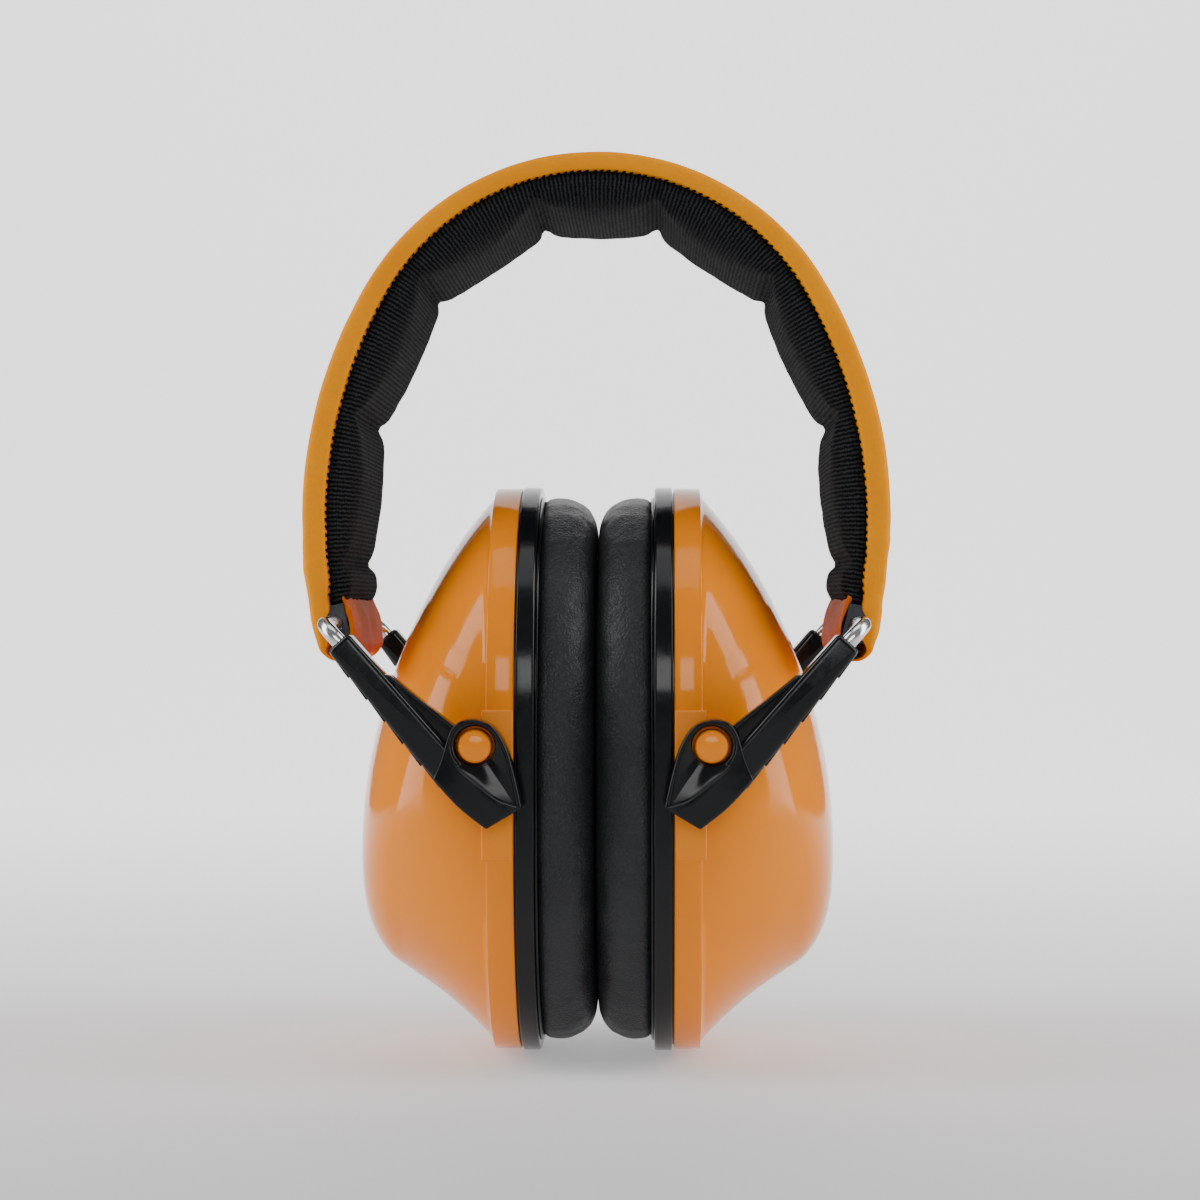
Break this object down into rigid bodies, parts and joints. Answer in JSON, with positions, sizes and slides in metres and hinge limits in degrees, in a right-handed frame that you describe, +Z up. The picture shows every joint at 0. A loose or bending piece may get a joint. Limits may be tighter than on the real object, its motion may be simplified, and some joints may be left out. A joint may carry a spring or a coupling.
{
  "type": "hearing protection earmuffs",
  "caption": "Hearing protection earmuffs with a padded arch headband, folding wire yokes, sliding sleeves and tilting cushioned ear cups.",
  "frame": {"origin": "the head seat: the middle of the pad's inner face at the crown of the headband", "axes": "+Z up out of the wearer's head, +X to one side along the line through the ears, +Y to the back"},
  "size_m": [0.0928, 0.0816, 0.1442],
  "materials": {
    "cover_leather": "smooth coated fabric, orange-yellow, fine grain",
    "knit": "black rib knit, slightly fuzzy",
    "foam": "open-cell foam",
    "spring_steel": "rolled spring steel strip",
    "bracket_steel": "zinc-plated stamped steel",
    "polished_wire": "bright drawn steel wire",
    "black_gloss": "moulded black, polished",
    "orange_gloss": "moulded orange, polished",
    "cushion_leather": "soft black coated fabric, pebble grain"
  },
  "bodies": {
    "headband": {"cover": "cover_leather", "spring_band": "spring_steel", "pad_foam": "foam", "pad_knit": "knit", "left_bracket": "bracket_steel", "right_bracket": "bracket_steel", "bracket_rivets": "bracket_steel"},
    "left_yoke": {"left_yoke_wire": "polished_wire"},
    "left_slider": {"left_front_sleeve": "black_gloss", "left_rear_sleeve": "black_gloss"},
    "left_cup": {"left_shell": "orange_gloss", "left_back_plate": "black_gloss", "left_cushion_plate": "black_gloss", "left_cushion": "cushion_leather", "left_absorber": "foam"},
    "right_yoke": {"right_yoke_wire": "polished_wire"},
    "right_slider": {"right_front_sleeve": "black_gloss", "right_rear_sleeve": "black_gloss"},
    "right_cup": {"right_shell": "orange_gloss", "right_back_plate": "black_gloss", "right_cushion_plate": "black_gloss", "right_cushion": "cushion_leather", "right_absorber": "foam"}
  },
  "joints": [
    {"name": "left_fold", "type": "hinge", "parent": "headband", "child": "left_yoke", "pos_m": [-0.04106, 0, -0.0657], "axis": [0, 1, 0], "range_deg": [0, 50]},
    {"name": "left_height", "type": "slide", "parent": "left_yoke", "child": "left_slider", "axis": [0.6769, 0, -0.7361], "range_m": [0, 0.014], "deforming": ["left_cushion"]},
    {"name": "left_tilt", "type": "hinge", "parent": "left_slider", "child": "left_cup", "pos_m": [-0.01791, 0, -0.08408], "axis": [0, -1, 0], "range_deg": [-10, 10], "deforming": ["left_cushion"]},
    {"name": "right_fold", "type": "hinge", "parent": "headband", "child": "right_yoke", "pos_m": [0.04106, 0, -0.0657], "axis": [0, -1, 0], "range_deg": [0, 50]},
    {"name": "right_height", "type": "slide", "parent": "right_yoke", "child": "right_slider", "axis": [-0.6769, 0, -0.7361], "range_m": [0, 0.014], "deforming": ["right_cushion"]},
    {"name": "right_tilt", "type": "hinge", "parent": "right_slider", "child": "right_cup", "pos_m": [0.01791, 0, -0.08408], "axis": [0, 1, 0], "range_deg": [-10, 10], "deforming": ["right_cushion"]}
  ]
}
